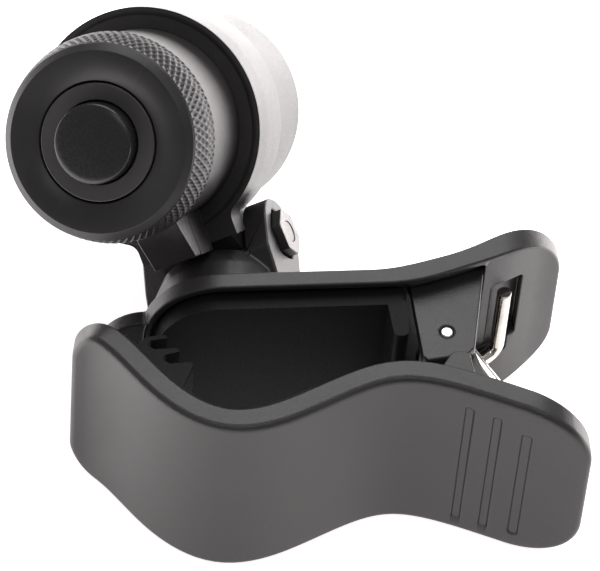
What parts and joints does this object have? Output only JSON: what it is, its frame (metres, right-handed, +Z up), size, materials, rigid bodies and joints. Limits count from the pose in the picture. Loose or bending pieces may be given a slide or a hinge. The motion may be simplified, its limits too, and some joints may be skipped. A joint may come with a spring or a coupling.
{
  "type": "clip on tuner",
  "caption": "Clip-on instrument tuner: barrel-shaped head with a knurled dial and push button on a tilting, swivelling yoke over a wide spring clip.",
  "frame": {"origin": "centre of the bounding box, at its lowest level, where the clip lies on its side", "axes": "+X from the clip's mouth to its levers, +Y from the lower jaw to the upper jaw and the head, +Z up along the clip's pivot pin"},
  "size_m": [0.0644, 0.0668, 0.0476],
  "materials": {
    "black_plastic": "fine textured satin black ABS",
    "dial_plastic": "satin black, diamond knurl on the rim",
    "button_plastic": "smooth semi-gloss black",
    "pad_rubber": "dull black rubber",
    "nickel_steel": "bright nickel-plated steel",
    "blackened_steel": "black oxide",
    "nylon": "dull",
    "smoked_lens": "clear gloss, smoked",
    "black_ink": "flat black",
    "led_diffuser": "unlit frosted diffuser",
    "circuit_board": "green solder mask",
    "chip_epoxy": "dull black epoxy",
    "brass_disc": "satin brass",
    "cell_steel": "satin stainless steel"
  },
  "bodies": {
    "upper_clip": {"upper_jaw": "black_plastic", "upper_pad": "pad_rubber", "pivot_pin": "nickel_steel", "torsion_spring": "nickel_steel"},
    "lower_clip": {"lower_jaw": "black_plastic", "lower_pad": "pad_rubber"},
    "yoke": {"yoke": "black_plastic", "hinge_bolt": "blackened_steel", "hinge_nut": "blackened_steel", "friction_washers": "nylon", "swivel_screw": "nickel_steel", "swivel_washer": "nickel_steel"},
    "head": {"collar_housing": "black_plastic", "dial_barrel": "black_plastic", "display_barrel": "black_plastic", "display_lens": "smoked_lens", "display_mask": "black_ink", "meter_leds": "led_diffuser", "note_leds": "led_diffuser", "display_board": "circuit_board", "main_board": "circuit_board", "board_chips": "chip_epoxy", "board_screws": "nickel_steel", "piezo_disc": "brass_disc", "tact_switch": "chip_epoxy", "dial_contacts": "brass_disc", "battery_contact_positive": "nickel_steel", "battery_contact_negative": "nickel_steel", "dial_hub": "dial_plastic", "hub_screws": "nickel_steel", "button_spring": "nickel_steel", "dial_spring": "nickel_steel"},
    "dial": {"shuttle_dial": "dial_plastic", "dial_wiper": "brass_disc"},
    "button": {"power_button": "button_plastic"},
    "tray": {"battery_tray": "black_plastic", "coin_cell": "cell_steel"}
  },
  "joints": [
    {"name": "clip_pivot", "type": "hinge", "parent": "upper_clip", "child": "lower_clip", "pos_m": [0.01699, -0.01776, 0.01325], "axis": [0, 0, 1], "range_deg": [0, 38], "stiffness_Nm_per_rad": 0.12, "springref_deg": -68.75, "deforming": ["torsion_spring"]},
    {"name": "yoke_swivel", "type": "hinge", "parent": "upper_clip", "child": "yoke", "pos_m": [-0.00681, -0.01026, 0.01325], "axis": [0, 1, 0], "range_deg": [-95, 75]},
    {"name": "head_tilt", "type": "hinge", "parent": "yoke", "child": "head", "pos_m": [-0.00681, 0.00214, 0.01325], "axis": [0.8704, 0, 0.4924], "range_deg": [-70, 0]},
    {"name": "dial_turn", "type": "hinge", "parent": "head", "child": "dial", "pos_m": [-0.02048, 0.00054, 0.03741], "axis": [-0.3716, -0.6561, 0.6569], "range_deg": [-25, 25], "stiffness_Nm_per_rad": 0.006, "deforming": ["dial_spring"]},
    {"name": "button_press", "type": "slide", "parent": "head", "child": "button", "axis": [0.3716, 0.6561, -0.6569], "range_m": [0, 0.0008], "stiffness_N_per_m": 600, "springref_m": -0.001, "deforming": ["button_spring"]},
    {"name": "tray_slide", "type": "slide", "parent": "head", "child": "tray", "axis": [-0.8704, 0, -0.4924], "range_m": [0, 0.018]}
  ]
}
